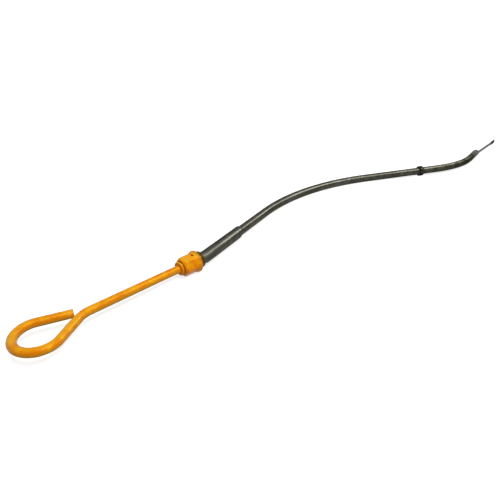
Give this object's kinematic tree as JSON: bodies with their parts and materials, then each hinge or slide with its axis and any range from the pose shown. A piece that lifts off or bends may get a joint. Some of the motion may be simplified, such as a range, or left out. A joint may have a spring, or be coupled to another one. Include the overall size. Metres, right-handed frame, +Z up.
{
  "type": "engine oil dipstick",
  "caption": "Engine oil dipstick with a yellow teardrop loop handle and flanged hexagon cap, seated in a bent dark steel guide tube with a stop collar and the gauge blade's tip standing out.",
  "frame": {"origin": "on the floor under the middle of the part's box, as it lies", "axes": "+X along the cap's axis in plan, from the handle loop to the blade's tip; +Z up from the floor it lies on"},
  "size_m": [0.823, 0.1162, 0.0218],
  "materials": {
    "yellow_paint": "glossy",
    "tube_steel": "dark oiled",
    "blade_steel": "satin",
    "pin_steel": "satin",
    "seal_rubber": "matt",
    "collar_black": "satin black"
  },
  "bodies": {
    "root": {"handle_rod": "yellow_paint", "hex_cap": "yellow_paint", "cap_pin": "pin_steel", "cap_seal": "seal_rubber", "upper_tube": "tube_steel", "lower_tube": "tube_steel", "stop_collar": "collar_black", "gauge_blade": "blade_steel"}
  },
  "joints": []
}
